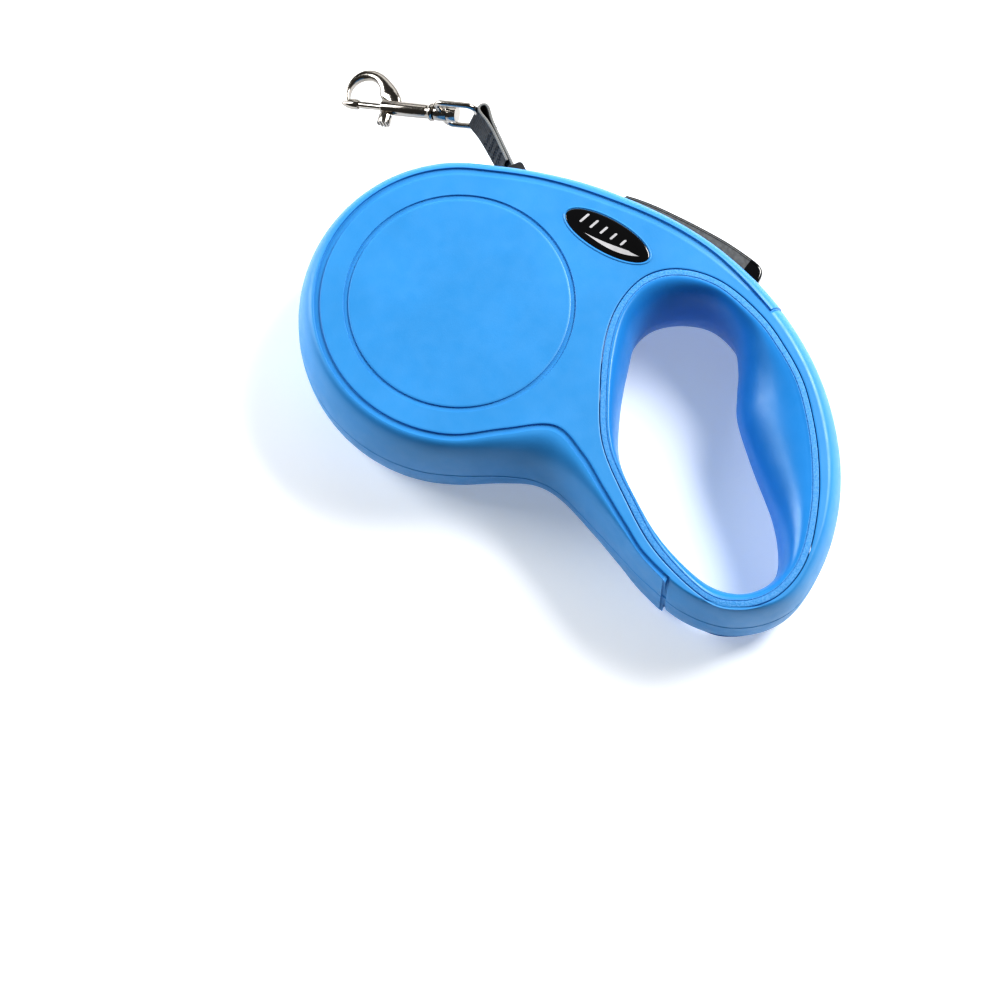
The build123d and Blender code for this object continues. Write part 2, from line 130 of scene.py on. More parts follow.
# Crescent round the eye: angle, inner radius, outer radius, half thickness
CRESCENT = [(46, 5.6, 7.2, 0.9), (38, 5.2, 6.9, 1.2), (22, 5.05, 6.45, 1.3), (0, 5.0, 6.4, 1.35),
            (-25, 5.0, 6.9, 1.45), (-50, 5.0, 7.6, 1.55), (-75, 5.0, 8.2, 1.65), (-100, 5.0, 8.4, 1.7),
            (-122, 5.0, 8.6, 1.75), (-140, 5.0, 9.0, 1.8), (-155, 5.0, 9.8, 1.85),
            (-170, 5.0, 11.2, 1.9), (-182, 5.2, 12.6, 1.9), (-192, 6.2, 13.6, 1.6),
            (-198, 8.0, 13.4, 1.1)]
# Sections of the nose and of the barrel, as (along the snap, radius)
NOSE = [(44.0, 0.02), (44.0, 1.2), (41.3, 1.2), (41.2, 1.4), (41.3, 1.58), (42.2, 1.68), (43.4, 1.66),
        (44.8, 1.4), (46.0, 0.95), (46.9, 0.45), (47.25, 0.02)]
BARREL = [(15.3, 1.75), (15.3, 2.5), (15.45, 2.8), (15.8, 2.93), (16.4, 2.93), (16.75, 2.75), (17.0, 2.45),
          (17.3, 2.32), (18, 2.32), (20, 2.36), (24, 2.4), (32.6, 2.4), (33.0, 2.32), (33.3, 2.1),
          (33.4, 1.85), (33.3, 1.62), (31.0, 1.6)]

# Directions on the floor that run up and right in the main view
VIEW_UP, VIEW_RIGHT = Vector((-0.588, 0.809, 0)), Vector((0.809, 0.588, 0))
LENS, SENSOR = 154.8, 36.0
CAMERA_AIM = Vector((40.4, -34.5, 0))
CAMERA_BACK, CAMERA_HEIGHT = 427.4, 1262.6
FLOOR_HALF, FLOOR_STEPS = 1500, 10
# Lights, in metres: name, place beside the aim as (up, right, height), size, watts, colour
LIGHT_AIM = Vector((0.03, 0.01, 0.02))
LIGHTS = [
    ("key", (0.62, 0.92, 1.0), (0.8, 0.8), 27.0, (1.0, 0.985, 0.965)),
    ("left", (0.4, -0.95, 0.45), (0.5, 0.9), 9.0, (0.97, 0.985, 1.0)),
    ("back", (1.0, 0.0, 0.5), (1.0, 0.5), 2.0, (0.98, 0.99, 1.0)),
]


# ---------------------------------------------------------------- curves
def spline_point(window, t):
    """Point of the Catmull-Rom curve between the middle two of four tuples."""
    return tuple(
        b + 0.5 * t * (c - a + t * (2 * a - 5 * b + 4 * c - d + t * (3 * (b - c) + d - a)))
        for a, b, c, d in zip(*window))


def smooth_loop(points, per_span):
    loop, count = [], len(points)
    for i in range(count):
        window = [points[(i + k) % count] for k in (-1, 0, 1, 2)]
        loop += [spline_point(window, k / per_span) for k in range(per_span)]
    return loop


def smooth_path(points, per_span):
    padded = [points[0]] + list(points) + [points[-1]]
    path = []
    for i in range(len(points) - 1):
        path += [spline_point(padded[i:i + 4], k / per_span) for k in range(per_span)]
    return path + [tuple(points[-1])]


def spaced(loop, gap_at):
    """Points of a closed loop picked so that neighbours are about gap_at(point) apart."""
    picked, run = [loop[0]], 0.0
    for before, here in zip(loop, loop[1:]):
        run += hypot(here[0] - before[0], here[1] - before[1])
        if run >= gap_at(here):
            picked.append(here)
            run = 0.0
    return picked


def near(point, target, reach):
    return hypot(point[0] - target[0], point[1] - target[1]) < reach


def ease(value):
    """0 below 0, 1 above 1 and smooth between."""
    value = min(max(value, 0.0), 1.0)
    return value * value * (3 - 2 * value)


def half_height(x):
    """Half thickness of the case, thinner towards the end of the handle."""
    share = min(max((x - TAPER_START) / (TIP_X - TAPER_START), 0.0), 1.0)
    return HALF - TAPER * share ** 1.4


# ---------------------------------------------------------------- meshes
def add_ring(bm, points):
    return [bm.verts.new(point) for point in points]


def bridge(bm, low, high, closed=True, index=0):
    """Quads between two rings of the same number of points."""
    count = len(low)
    for i in range(count if closed else count - 1):
        j = (i + 1) % count
        bm.faces.new((low[i], low[j], high[j], high[i])).material_index = index


def skin(bm, rings, closed=True, index=0):
    made = [add_ring(bm, ring) for ring in rings]
    for low, high in zip(made, made[1:]):
        bridge(bm, low, high, closed, index)
    return made


def lathe(bm, profile, turns=48, index=0):
    """Surface of revolution about X from (x, radius) pairs."""
    rings = []
    for x, radius in profile:
        rings.append([(x, radius * cos(2 * pi * k / turns), radius * sin(2 * pi * k / turns))
                      for k in range(turns)])
    return skin(bm, rings, index=index)


def add_piece(name, bm, body, materials, place=None, flat_angle=None):
    """Makes an object of a mesh drawn in millimetres, and sets it riding on a body."""
    bmesh.ops.remove_doubles(bm, verts=bm.verts, dist=1e-4)
    if place:
        bmesh.ops.transform(bm, matrix=place, verts=bm.verts)
    bmesh.ops.recalc_face_normals(bm, faces=bm.faces)
    bmesh.ops.scale(bm, vec=(MM, MM, MM), verts=bm.verts)
    mesh = bpy.data.meshes.new(name)
    bm.to_mesh(mesh)
    bm.free()
    for material in materials:
        mesh.materials.append(material)
    mesh.shade_smooth()
    if flat_angle:
        mesh.set_sharp_from_angle(angle=radians(flat_angle))
    piece = bpy.data.objects.new(name, mesh)
    bpy.context.scene.collection.objects.link(piece)
    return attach(piece, body)


def fill_plan(bm, outer, holes, height, spacing):
    """Triangles over the plan between a loop and its holes, on the surface height(x, y)."""
    loops = [outer] + holes
    points, edges = [], []
    for loop in loops:
        first = len(points)
        points += [Vector((p[0], p[1])) for p in loop]
        edges += [(first + i, first + (i + 1) % len(loop)) for i in range(len(loop))]
    xs, ys = [p[0] for p in outer], [p[1] for p in outer]
    for i in range(int((max(xs) - min(xs)) / spacing) + 1):
        for j in range(int((max(ys) - min(ys)) / spacing) + 1):
            points.append(Vector((min(xs) + (i + 0.5 * (j % 2)) * spacing, min(ys) + j * spacing)))
    made, _, faces, *_ = geometry.delaunay_2d_cdt(points, edges, [], 0, 1e-5)
    verts = [bm.verts.new((p.x, p.y, height(p.x, p.y))) for p in made]
    for face in faces:
        cx = sum(made[i].x for i in face) / 3
        cy = sum(made[i].y for i in face) / 3
        if inside(outer, cx, cy) and not any(inside(hole, cx, cy) for hole in holes):
            bm.faces.new([verts[i] for i in face])
    loose = [v for v in verts if not v.link_faces]
    bmesh.ops.delete(bm, geom=loose, context="VERTS")


def inside(loop, x, y):
    found = False
    for (ax, ay, *_), (bx, by, *_) in zip(loop, loop[1:] + loop[:1]):
        if (ay > y) != (by > y) and x < (bx - ax) * (y - ay) / (by - ay) + ax:
            found = not found
    return found


# ---------------------------------------------------------------- shells
def border_columns():
    """Columns of the rim: (rim x, rim y, inner x, inner y), close together near its details."""
    drum = []
    for i in range(15):
        angle = radians(116 + i * 190 / 14)
        drum.append((DRUM_R * cos(angle), DRUM_R * sin(angle),
                     DRUM_INNER_R * cos(angle), DRUM_INNER_R * sin(angle)))
    loop = smooth_loop(drum + [(*rim, *inner) for rim, inner in BORDER], 220)

    def gap(point):
        fine = near(point, EXIT_TOP, 3) or near(point, EXIT_LOW, 3)
        slot_end = point[1] > 40 and min(abs(point[0] - end) for end in BUTTON_SLOT) < 1.2
        return 0.12 if fine or slot_end else 0.7

    return spaced(loop, gap)


def nearest(columns, target):
    return min(range(len(columns)), key=lambda i: hypot(columns[i][0] - target[0],
                                                        columns[i][1] - target[1]))


def notch(x, y):
    """Height above the parting plane at which the shell starts: 0, or over a slot in the rim."""
    button = 0.0
    if y > 0:
        button = SLOT_HALF * ease((x - BUTTON_SLOT[0]) / 0.5) * ease((BUTTON_SLOT[1] - x) / 0.5)
    turn = radians(EXIT_ANGLE)
    along = x * cos(turn) + y * sin(turn)
    side = -x * sin(turn) + y * cos(turn) + LEAD_R
    outlet = OUTLET_HALF_H * ease((OUTLET_HALF_W - abs(side)) / 0.3) if along > 0 else 0.0
    return max(button, outlet)


def button_flat(x, y):
    """How far the rim is flattened beside the button's slot."""
    along = (x - BUTTON_SLOT[0]) / (BUTTON_SLOT[1] - BUTTON_SLOT[0])
    return SLOT_FLAT * sin(pi * along) if y > 0 and 0 < along < 1 else 0.0


def rim_rings(columns):
    """Rings of one half from its inside lip, round the shoulder, through the border groove."""
    top, low = nearest(columns, EXIT_TOP), nearest(columns, EXIT_LOW)
    steps = SHOULDER_STEPS
    rings = [[] for _ in range(2 + steps + len(GROOVE_PROFILE))]
    for i, (x, y, ix, iy) in enumerate(columns):
        width = hypot(ix - x, iy - y)
        ux, uy = (ix - x) / width, (iy - y) / width
        flat = button_flat(x, y)
        x, y, width = x + ux * flat, y + uy * flat, width - flat
        cut = 1.0 if i <= low or i >= top else 0.0
        gap = min(hypot(x - columns[k][0], y - columns[k][1]) for k in (top, low))
        if cut:
            run = hypot(x - EXIT_TOP[0], y - EXIT_TOP[1])
            cut = NARROWEST + (1 - NARROWEST) * ease(run / NARROW_RUN)
        half_slit = GROOVE_W / 2 if y < 0 else EXIT_SLIT
        dip = GROOVE_DEPTH * ease((half_slit - gap) / SLIT_EDGE)
        start = notch(x, y)

        def point(move, z):
            return (x + ux * move, y + uy * move, z)

        channel = GROOVE_W * cut + 0.1 * (1 - cut)
        base = asin(min(start / half_height(x), 0.9))
        rings[0].append(point(LIP_IN, start + PARTING_GAP))
        rings[1].append(point(LIP_EDGE + width * (1 - cos(base)), start + PARTING_GAP))
        for k in range(steps):
            angle = base + (radians(90) - base) * k / (steps - 1)
            out = (width - 1.05 * channel) * (1 - cos(angle)) + dip * cos(angle)
            z = sin(angle) * half_height(x + ux * out) - dip * sin(angle)
            if k == 0:
                z += PARTING_BEVEL
            rings[2 + k].append(point(out, z))
        for k, (share, depth) in enumerate(GROOVE_PROFILE):
            move = width + channel * share
            sunk = max(min(1.0, 2 * cut) * depth * GROOVE_DEPTH, dip if share < -0.05 else 0.0)
            rings[2 + steps + k].append(point(move, half_height(x + ux * move) - sunk))
    return rings


def opening_columns():
    loop = smooth_loop([(*on_face, *middle) for on_face, middle in OPENING], 60)
    return spaced(loop, lambda point: 0.7)


def opening_ring(columns, beyond, drop):
    """Loop at a distance outside the opening's edge on the face."""
    ring = []
    for gx, gy, hx, hy in columns:
        width = hypot(gx - hx, gy - hy)
        x, y = gx + (gx - hx) / width * beyond, gy + (gy - hy) / width * beyond
        ring.append((x, y, half_height(x) - drop))
    return ring


def disc_ring(radius, drop):
    turns = [2 * pi * k / DISC_POINTS for k in range(DISC_POINTS)]
    return [(radius * cos(turn), radius * sin(turn), HALF - drop) for turn in turns]


def half_shell():
    """One half of the case drawn above the parting plane, z 0 up to its face."""
    bm = bmesh.new()
    rings = rim_rings(border_columns())
    skin(bm, rings)
    edge = [opening_ring(opening_columns(), beyond, drop) for beyond, drop in EDGE_PROFILE]
    skin(bm, edge)
    disc = [disc_ring(DISC_R + offset, drop) for offset, drop in DISC_PROFILE]
    skin(bm, disc)
    fill_plan(bm, rings[-1], [edge[0], disc[-1]], lambda x, y: half_height(x), FACE_SPACING)
    fill_plan(bm, disc[0], [], lambda x, y: HALF, DISC_SPACING)
    return bm


def sink_screws(bm):
    """Counterbores for the screws in the rear half, dug down from its surface."""
    for cx, cy in SCREWS:
        depth = half_height(cx) - SCREW_SINK
        gone = [f for f in bm.faces
                if any(v.co.z > 3 and near(v.co, (cx, cy), SCREW_CLEAR_R) for v in f.verts)]
        rim_edges = [e for f in gone for e in f.edges]
        edges = [e for e in set(rim_edges) if rim_edges.count(e) == 1]
        heights = [v.co.copy() for e in edges for v in e.verts]
        bmesh.ops.delete(bm, geom=gone, context="FACES")
        ring = []
        for k in range(SCREW_POINTS):
            turn = 2 * pi * k / SCREW_POINTS
            x, y = cx + SCREW_HOLE_R * cos(turn), cy + SCREW_HOLE_R * sin(turn)
            weights = [1 / (hypot(p.x - x, p.y - y) ** 4 + 1e-4) for p in heights]
            ring.append((x, y, sum(w * p.z for w, p in zip(weights, heights)) / sum(weights)))
        top = add_ring(bm, ring)
        ring_edges = [bm.edges.new(pair) for pair in zip(top, top[1:] + top[:1])]
        bmesh.ops.bridge_loops(bm, edges=[e for e in edges if e.is_valid] + ring_edges)
        wall = add_ring(bm, [(x, y, depth) for x, y, _ in ring])
        bridge(bm, top, wall)
        bm.faces.new(wall)


def make_shells():
    """Front half, and the rear half as its mirror image with the screws sunk in it."""
    shell = add_piece("shell_front", half_shell(), "case", [CASE_BLUE],
                      Matrix.Translation((0, 0, HALF)), 34)
    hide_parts("front_shell")
    bm = half_shell()
    sink_screws(bm)
    turned = Matrix.Translation((0, 0, HALF)) @ Matrix.Scale(-1, 4, (0, 0, 1))
    shell = add_piece("shell_rear", bm, "case", [CASE_BLUE], turned, 34)
    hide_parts("rear_shell")


def wall_ring(columns, step):
    """Loop on the wall of the opening, at a share of the half height."""
    bulge = (1 - step ** 1.6) ** 0.52
    ring = []
    for gx, gy, hx, hy in columns:
        width = hypot(gx - hx, gy - hy)
        move = -LIP_W * (1 - bulge) - width * bulge
        ring.append((gx + (gx - hx) / width * move, gy + (gy - hy) / width * move,
                     step * (half_height(gx) - 0.1)))
    return ring


def make_liner():
    """Grip liner: a flat textured band on each face, rolling over into the wall of the opening."""
    bm = bmesh.new()
    columns = opening_columns()
    for side in (1, -1):
        rings = [opening_ring(columns, beyond, drop) for beyond, drop in BAND_PROFILE]
        rings += [wall_ring(columns, step) for step in WALL_STEPS]
        placed = [[(x, y, HALF + side * z) for x, y, z in ring] for ring in rings]
        skin(bm, placed[:len(BAND_PROFILE)], index=1)
        skin(bm, placed[len(BAND_PROFILE) - 1:], index=0)
    liner = add_piece("grip_liner_skin", bm, "case", [LINER_BLUE, BAND_BLUE], flat_angle=50)
    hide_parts("grip_liner")


# ---------------------------------------------------------------- badge
def oval(a, b, z, count=120):
    return [(a * cos(2 * pi * k / count), b * sin(2 * pi * k / count), z) for k in range(count)]


def make_badge():
    """Gloss plate in a raised rim, with a plain swoosh and slanted strokes in place of a name."""
    place = Matrix.Translation((*BADGE_AT, 2 * HALF)) @ Matrix.Rotation(radians(BADGE_TURN), 4, "Z")
    bm = bmesh.new()
    skin(bm, [oval(BADGE_A + grow, BADGE_B + grow, z) for grow, z in BADGE_RIM])
    rim = add_piece("badge_rim", bm, "case", [CASE_BLUE], place)

    bm = bmesh.new()
    rings = skin(bm, [oval(BADGE_A + grow, BADGE_B + grow, z) for grow, z in BADGE_PLATE])
    bm.faces.new(rings[-1])
    plate = add_piece("badge_plate", bm, "case", [BLACK_GLOSS], place)
    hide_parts("front_badge")

    bm = bmesh.new()
    add_swoosh(bm)
    for i in range(STROKES):
        add_stroke(bm, -9.0 + 3.6 * i, 1.3 - 0.22 * i, 3.8 - 0.35 * i)
    motif = add_piece("badge_motif", bm, "case", [SILVER_INK], place)


def badge_top(x, y):
    """Height of the plate's slightly domed top above the face."""
    share = hypot(x / BADGE_A, y / BADGE_B)
    return 0.3 - 0.1 * share ** 3


def add_swoosh(bm):
    """Long thin crescent along the lower right of the plate."""
    upper, lower = [], []
    for k in range(41):
        t = k / 40
        x = -6.5 + 19.0 * t
        middle = -2.9 + 1.2 * t + 1.3 * t * t * t - 0.6 * sin(pi * t)
        half = 0.95 * sin(pi * t) ** 0.7 * (0.35 + t)
        upper.append((x, middle + half, badge_top(x, middle)))
        lower.append((x, middle - half, badge_top(x, middle)))
    bridge(bm, add_ring(bm, lower), add_ring(bm, upper), closed=False)


def add_stroke(bm, x, y, tall):
    """Slanted rounded stroke, standing a hair above the plate."""
    half, slant = 0.42, 0.28
    outline = []
    for k in range(24):
        angle = 2 * pi * k / 24
        dy = sin(angle) * half + (tall / 2 - half) * (1 if sin(angle) >= 0 else -1)
        outline.append((x + cos(angle) * half + dy * slant, y + dy))
    bm.faces.new([bm.verts.new((px, py, badge_top(px, py) + 0.02)) for px, py in outline])


# ---------------------------------------------------------------- button
def inset(loop, depth):
    """Closed anticlockwise loop moved inwards."""
    moved = []
    for before, here, after in zip(loop[-1:] + loop, loop, loop[1:] + loop[:1]):
        dx, dy = after[0] - before[0], after[1] - before[1]
        size = hypot(dx, dy)
        moved.append((here[0] - dy / size * depth, here[1] + dx / size * depth))
    return moved


def make_button():
    """Thumb button: gloss crown and rear end, and a duller recessed panel on each side."""
    bm = bmesh.new()
    loop = smooth_loop(BUTTON, 10)
    low = [[(x, y, z) for x, y in inset(loop, depth)] for depth, z in BUTTON_EDGE]
    high = [[(x, y, 2 * HALF - z) for x, y, z in ring] for ring in low]
    rings = skin(bm, low[::-1] + high)
    ends = [bm.faces.new(rings[0]), bm.faces.new(rings[-1])]
    bmesh.ops.triangulate(bm, faces=ends)
    for face in bm.faces:
        middle = face.calc_center_median()
        flat = abs(middle.z - HALF) > 6.2 and abs(face.normal.z) > 0.9
        if flat and middle.x < SIDE_PANEL_END:
            face.material_index = 1
    button = add_piece("thumb_button_skin", bm, "button", [BLACK_GLOSS, BUTTON_SIDE], flat_angle=40)
    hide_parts("thumb_button")


# ---------------------------------------------------------------- strap
def exit_point(run, side):
    """Plan point at a distance along the strap's line and to its side."""
    turn = radians(EXIT_ANGLE)
    foot = Vector((LEAD_R * cos(turn - pi / 2), LEAD_R * sin(turn - pi / 2)))
    return foot + run * Vector((cos(turn), sin(turn))) + side * Vector((-sin(turn), cos(turn)))


def strap_up(run):
    """Direction across the strap, which leans over more from the outlet to its loop."""
    lean = radians(7 + 5 * ease((run - 36) / 20))
    return VIEW_RIGHT * sin(lean) + Vector((0, 0, cos(lean)))


def section(half, thick):
    """Closed outline across the strap as (along its width, through its thickness)."""
    outline = [(-half + thick / 2 + (2 * half - thick) * k / 14, -thick / 2) for k in range(15)]
    outline += [(half - thick / 2 + cos(a) * thick / 2, sin(a) * thick / 2)
                for a in (-pi / 3, -pi / 6, 0, pi / 6, pi / 3)]
    return outline + [(-w, -t) for w, t in outline]


def make_strap():
    """Folded strap with a UV map in metres along and across it, for the weave."""
    bm = bmesh.new()
    uv = bm.loops.layers.uv.new("weave")
    path = smooth_path(STRAP_ROUTE, 10)
    rings, lengths, run = [], [], 0.0
    outline = section(STRAP_HALF, STRAP_THICK)
    for i, (at, side) in enumerate(path):
        before, after = path[max(i - 1, 0)], path[min(i + 1, len(path) - 1)]
        if i:
            run += hypot(at - before[0], side - before[1])
        lengths.append(run)
        step = Vector((after[0] - before[0], after[1] - before[1])).normalized()
        normal = exit_point(-step.y, step.x) - exit_point(0, 0)
        up, centre = strap_up(at), exit_point(at, side)
        rings.append([Vector((*centre, HALF)) + up * w + Vector((*normal, 0)) * t for w, t in outline])
    made = skin(bm, rings)
    for ring in (made[0], made[-1]):
        bm.faces.new(ring)
    where = {}
    for ring, length in zip(made, lengths):
        for vert, (w, _) in zip(ring, outline):
            where[vert] = (length * MM, (w + STRAP_HALF) * MM)
    for face in bm.faces:
        for loop in face.loops:
            loop[uv].uv = where[loop.vert]
    strap = add_piece("strap", bm, "tape", [WEBBING])
    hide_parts("tape_lead")
    make_stitching()


def make_stitching():
    """Bar tacks through both layers beside the loop, and one loose end of thread."""
    bm = bmesh.new()
    for row in range(STITCH_ROWS):
        run = STITCH_START + STITCH_ROW_GAP * row
        for k in range(STITCH_COLUMNS):
            across = STITCH_GAP * (k - (STITCH_COLUMNS - 1) / 2)
            for side in (-STITCH_SIDE, STITCH_SIDE):
                add_stitch(bm, run + (STITCH_STAGGER if k % 2 else -STITCH_STAGGER), side, across)
    stitches = add_piece("strap_stitches", bm, "tape", [THREAD])
    bm = bmesh.new()
    tube(bm, LOOSE_THREAD, LOOSE_THREAD_R)
    thread = add_piece("loose_thread", bm, "tape", [THREAD])


def strap_spot(run, side, across):
    return Vector((*exit_point(run, side), HALF)) + strap_up(run) * across


def add_stitch(bm, run, side, across):
    """Short raised stitch lying across the strap."""
    rings = []
    for k in range(7):
        t = k / 6
        size = STITCH_R * sin(pi * t) ** 0.5 + 0.01
        centre = strap_spot(run - 0.3 + 0.6 * t, side, across - 0.45 + 0.9 * t)
        out = exit_point(0, 1) - exit_point(0, 0)
        up = strap_up(run)
        rings.append([centre + up * (size * cos(a)) + Vector((*out, 0)) * (size * sin(a))
                      for a in (0, pi / 3, 2 * pi / 3, pi, 4 * pi / 3, 5 * pi / 3)])
    skin(bm, rings)


def tube(bm, points, radius):
    """Thin round thread through points given in the strap's run, side and across."""
    path = [strap_spot(*point) for point in smooth_path(points, 8)]
    rings = []
    for i, spot in enumerate(path):
        ahead = path[min(i + 1, len(path) - 1)] - path[max(i - 1, 0)]
        u = ahead.cross(Vector((0, 0, 1))).normalized()
        v = ahead.cross(u).normalized()
        rings.append([spot + (u * cos(a) + v * sin(a)) * radius for a in (0, pi / 2, pi, 3 * pi / 2)])
    skin(bm, rings)


# ---------------------------------------------------------------- snap
def snap_place():
    turn = Matrix((SNAP_X, SNAP_Y, SNAP_Z)).transposed().to_4x4()
    return Matrix.Translation(SNAP_AT) @ turn


def make_snap_hook():
    """Hook round the eye, nose and barrel, drawn in the snap's own frame."""
    bm = bmesh.new()
    rings = []
    for angle, inner, outer, thick in smooth_path(CRESCENT, 8):
        middle, half = (inner + outer) / 2, (outer - inner) / 2
        ring = []
        for k in range(28):
            a = 2 * pi * k / 28
            across = abs(cos(a)) ** 0.75 * (1 if cos(a) >= 0 else -1)
            up = abs(sin(a)) ** 0.75 * (1 if sin(a) >= 0 else -1)
            radius = middle + half * across
            ring.append((EYE_AT[0] + radius * cos(radians(angle)),
                         EYE_AT[1] + radius * sin(radians(angle)), thick * up))
        rings.append(ring)
    made = skin(bm, rings)
    for ring in (made[0], made[-1]):
        bm.faces.new(ring)
    lathe(bm, NOSE)
    lathe(bm, BARREL)
    hook = add_piece("snap_body", bm, "snap", [PLATING], snap_place(), 40)
    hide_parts("snap_hook")


# ---------------------------------------------------------------- materials
def node(tree, kind, **values):
    made = tree.nodes.new(kind)
    for key, value in values.items():
        setattr(made, key, value)
    return made


def noise(tree, scale, detail=3.0, source="Object"):
    where = node(tree, "ShaderNodeTexCoord")
    made = node(tree, "ShaderNodeTexNoise")
    made.inputs["Scale"].default_value = scale
    made.inputs["Detail"].default_value = detail
    tree.links.new(where.outputs[source], made.inputs["Vector"])
    return made.outputs["Fac"]


def ramp(tree, value, low, high, low_at=0.35, high_at=0.65):
    made = node(tree, "ShaderNodeValToRGB")
    made.color_ramp.elements[0].position = low_at
    made.color_ramp.elements[1].position = high_at
    made.color_ramp.elements[0].color = (*low, 1)
    made.color_ramp.elements[1].color = (*high, 1)
    tree.links.new(value, made.inputs["Fac"])
    return made.outputs["Color"]


def spread(tree, value, low, high):
    made = node(tree, "ShaderNodeMapRange")
    made.inputs["From Min"].default_value = 0.3
    made.inputs["From Max"].default_value = 0.7
    made.inputs["To Min"].default_value = low
    made.inputs["To Max"].default_value = high
    tree.links.new(value, made.inputs["Value"])
    return made.outputs["Result"]


def bump(tree, height, strength, distance, under=None):
    made = node(tree, "ShaderNodeBump")
    made.inputs["Strength"].default_value = strength
    made.inputs["Distance"].default_value = distance
    tree.links.new(height, made.inputs["Height"])
    if under:
        tree.links.new(under, made.inputs["Normal"])
    return made.outputs["Normal"]


def finish_of(name, low, high, rough, grain, strength, patches=40.0, **constants):
    """Surface whose colour, roughness and grain all vary: low to high colour, rough low to high."""
    made = bpy.data.materials.new(name)
    made.use_nodes = True
    tree = made.node_tree
    shader = tree.nodes["Principled BSDF"]
    links = tree.links
    links.new(ramp(tree, noise(tree, patches), low, high), shader.inputs["Base Color"])
    links.new(spread(tree, noise(tree, patches * 6), *rough), shader.inputs["Roughness"])
    fine = bump(tree, noise(tree, grain, 4.0), strength, 0.0002)
    links.new(fine, shader.inputs["Normal"])
    for key, value in constants.items():
        shader.inputs[key.replace("_", " ")].default_value = value
    return made


def webbing_of(name, body, edge):
    """Woven tape: fine twill over its width, with a painted highlight that makes it paler at its folded
    edges.
    """
    made = bpy.data.materials.new(name)
    made.use_nodes = True
    tree = made.node_tree
    shader = tree.nodes["Principled BSDF"]
    links = tree.links
    uv = node(tree, "ShaderNodeUVMap", uv_map="weave")
    split = node(tree, "ShaderNodeSeparateXYZ")
    links.new(uv.outputs["UV"], split.inputs["Vector"])
    waves = []
    for direction, scale in (("X", 900.0), ("Y", 1400.0)):
        wave = node(tree, "ShaderNodeTexWave", wave_type="BANDS", bands_direction=direction)
        wave.inputs["Scale"].default_value = scale / 2
        wave.inputs["Distortion"].default_value = 1.2
        links.new(uv.outputs["UV"], wave.inputs["Vector"])
        waves.append(wave.outputs["Fac"])
    both = node(tree, "ShaderNodeMath", operation="MULTIPLY")
    links.new(waves[0], both.inputs[0])
    links.new(waves[1], both.inputs[1])
    # Painted highlight: a mask over the width that turns the colour from body to the paler edge colour near
    # both folded edges
    middle = node(tree, "ShaderNodeMath", operation="SUBTRACT")
    links.new(split.outputs["Y"], middle.inputs[0])
    middle.inputs[1].default_value = STRAP_HALF * MM
    off = node(tree, "ShaderNodeMath", operation="ABSOLUTE")
    links.new(middle.outputs[0], off.inputs[0])
    share = node(tree, "ShaderNodeMapRange")
    share.inputs["From Min"].default_value = (STRAP_HALF - 0.55) * MM
    share.inputs["From Max"].default_value = (STRAP_HALF - 0.25) * MM
    links.new(off.outputs[0], share.inputs["Value"])
    pale = ramp(tree, share.outputs["Result"], body, edge, 0.0, 1.0)
    tint = node(tree, "ShaderNodeMix", data_type="RGBA", blend_type="MULTIPLY")
    tint.inputs["Factor"].default_value = 0.55
    links.new(pale, tint.inputs["A"])
    links.new(ramp(tree, both.outputs[0], (0.35, 0.35, 0.36), (1, 1, 1), 0.0, 0.5), tint.inputs["B"])
    links.new(tint.outputs["Result"], shader.inputs["Base Color"])
    links.new(spread(tree, noise(tree, 900), 0.62, 0.82), shader.inputs["Roughness"])
    weave = bump(tree, both.outputs[0], 0.8, 0.00012)
    links.new(bump(tree, noise(tree, 4000), 0.3, 0.0001, weave), shader.inputs["Normal"])
    shader.inputs["Sheen Weight"].default_value = 0.15
    return made


CASE_BLUE = finish_of("case_blue", (0.044, 0.272, 0.59), (0.051, 0.294, 0.64), (0.36, 0.46), 2600, 0.10)
LINER_BLUE = finish_of("liner_blue", (0.030, 0.244, 0.59), (0.036, 0.266, 0.64), (0.28, 0.38), 2200, 0.06)
BAND_BLUE = finish_of("band_blue", (0.035, 0.26, 0.60), (0.11, 0.35, 0.69), (0.5, 0.7), 2600, 0.8, 1900.0)
BUTTON_SIDE = finish_of("button_side", (0.085, 0.086, 0.086), (0.13, 0.13, 0.128), (0.4, 0.5), 1800, 0.3,
                        700.0)
BLACK_GLOSS = finish_of("black_gloss", (0.006, 0.006, 0.007), (0.010, 0.010, 0.011), (0.07, 0.13), 900,
                        0.03, Coat_Weight=0.6, Coat_Roughness=0.05)
BLACK_PLASTIC = finish_of("black_plastic", (0.018, 0.018, 0.020), (0.030, 0.030, 0.032), (0.34, 0.48),
                          2400, 0.2)
WHITE_PLASTIC = finish_of("white_plastic", (0.72, 0.72, 0.70), (0.8, 0.8, 0.78), (0.35, 0.5), 1800, 0.1)
SPRING_STEEL = finish_of("spring_steel", (0.42, 0.44, 0.48), (0.55, 0.56, 0.6), (0.22, 0.36), 1500, 0.1,
                         Metallic=1.0)
STEEL = finish_of("steel", (0.55, 0.56, 0.58), (0.66, 0.67, 0.69), (0.2, 0.32), 1500, 0.08, Metallic=1.0)
BRASS = finish_of("brass", (0.62, 0.42, 0.16), (0.74, 0.53, 0.22), (0.24, 0.36), 1500, 0.08, Metallic=1.0)
PLATING = finish_of("plating", (0.33, 0.305, 0.275), (0.43, 0.405, 0.375), (0.10, 0.20), 700, 0.12,
                    Metallic=1.0)
SILVER_INK = finish_of("silver_ink", (0.5, 0.5, 0.52), (0.68, 0.68, 0.70), (0.3, 0.45), 1500, 0.1,
                       Metallic=0.3)
THREAD = finish_of("thread", (0.05, 0.05, 0.055), (0.10, 0.10, 0.11), (0.6, 0.8), 5000, 0.5, 900.0)
# Webbing: dark body colour, and a paler colour that is the painted highlight along the strap's folded edges
WEBBING = webbing_of("webbing", (0.011, 0.0105, 0.010), (0.30, 0.30, 0.29))
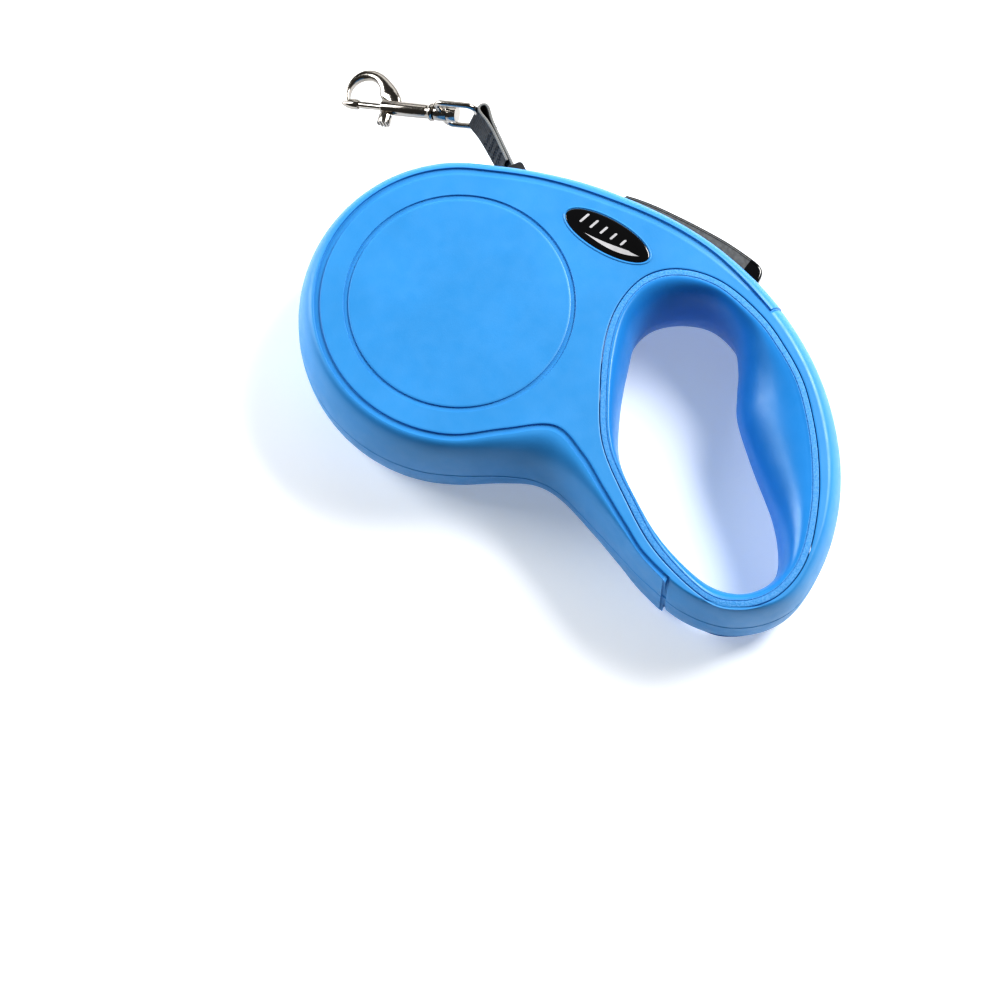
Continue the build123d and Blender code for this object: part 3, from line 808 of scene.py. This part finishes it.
FLOOR = finish_of("floor", (0.90, 0.91, 0.925), (0.92, 0.925, 0.935), (0.7, 0.8), 300, 0.02, 6.0,
                  Emission_Color=(0.93, 0.96, 1.0, 1.0), Emission_Strength=0.24)

NODE_FINISH = {
    "tape_outlet": BLACK_PLASTIC, "tape_guide_pin": STEEL, "brake_pivot_pin": STEEL, "case_screws": STEEL,
    "spool_axle": STEEL, "thrust_washers": WHITE_PLASTIC, "lever_spring": SPRING_STEEL,
    "spool": WHITE_PLASTIC, "spring_cover": WHITE_PLASTIC, "spool_bushes": BRASS,
    "ratchet_flange": WHITE_PLASTIC, "mainspring": SPRING_STEEL, "tape_roll": THREAD,
    "brake_lever": BLACK_PLASTIC, "swivel_yoke": PLATING,
    "swivel_stem": PLATING, "bolt_spring": SPRING_STEEL, "snap_bolt": PLATING, "bolt_knob": PLATING,
}
ROUNDED = {"tape_outlet": 0.5, "bolt_knob": 0.22, "swivel_stem": 0.35,
           "swivel_yoke": 0.25, "snap_bolt": 0.3, "case_screws": 0.15}


def finish_cad_nodes():
    for name, material in NODE_FINISH.items():
        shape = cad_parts[name]
        shape.data.materials.clear()
        shape.data.materials.append(material)
    for name, width in ROUNDED.items():
        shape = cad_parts[name]
        weld = shape.modifiers.new("weld", "WELD")
        weld.merge_threshold = 2e-6
        bevel = shape.modifiers.new("round", "BEVEL")
        bevel.width = width * MM
        bevel.segments = 4
        bevel.limit_method = "ANGLE"
        bevel.angle_limit = radians(35)
        bevel.harden_normals = True


# ---------------------------------------------------------------- stage
def make_stage():
    """Plain floor, as a grid of squares."""
    bm = bmesh.new()
    marks = [FLOOR_HALF * (2 * i / FLOOR_STEPS - 1) for i in range(FLOOR_STEPS + 1)]
    skin(bm, [[(x, y, 0) for x in marks] for y in marks], closed=False)
    bmesh.ops.scale(bm, vec=(MM, MM, MM), verts=bm.verts)
    mesh = bpy.data.meshes.new("floor")
    bm.to_mesh(mesh)
    bm.free()
    mesh.materials.append(FLOOR)
    floor = bpy.data.objects.new("floor", mesh)
    bpy.context.scene.collection.objects.link(floor)


def add_light(name, at, size, watts, colour):
    data = bpy.data.lights.new(name, "AREA")
    data.shape = "RECTANGLE"
    data.size, data.size_y = size
    data.energy = watts
    data.color = colour
    light = bpy.data.objects.new(name, data)
    light.location = at
    light.rotation_euler = (LIGHT_AIM - at).to_track_quat("-Z", "Y").to_euler()
    bpy.context.scene.collection.objects.link(light)


def make_lights():
    """Large soft key from the upper right of the main view, two weaker lights and a pale sky."""
    for name, (up, right, height), size, watts, colour in LIGHTS:
        at = LIGHT_AIM + VIEW_UP * up + VIEW_RIGHT * right + Vector((0, 0, height))
        add_light(name, at, size, watts, colour)
    world = bpy.data.worlds.new("studio")
    world.use_nodes = True
    sky = world.node_tree.nodes["Background"]
    sky.inputs["Color"].default_value = (1.0, 0.97, 0.93, 1)
    sky.inputs["Strength"].default_value = 0.09
    bpy.context.scene.world = world
    bpy.context.scene.view_settings.view_transform = "Standard"
    bpy.context.scene.view_settings.look = "High Contrast"


def make_camera():
    data = bpy.data.cameras.new("camera")
    data.lens, data.sensor_width = LENS, SENSOR
    data.clip_start, data.clip_end = 0.05, 20.0
    camera = bpy.data.objects.new("camera", data)
    back = (Vector((0, 0, CAMERA_HEIGHT)) - VIEW_UP * CAMERA_BACK) * MM
    camera.location = CAMERA_AIM * MM + back
    camera.rotation_euler = (-back).to_track_quat("-Z", "Y").to_euler()
    bpy.context.scene.collection.objects.link(camera)
    bpy.context.scene.camera = camera


make_shells()
make_liner()
make_badge()
make_button()
make_strap()
make_snap_hook()
finish_cad_nodes()
make_stage()
make_lights()
make_camera()
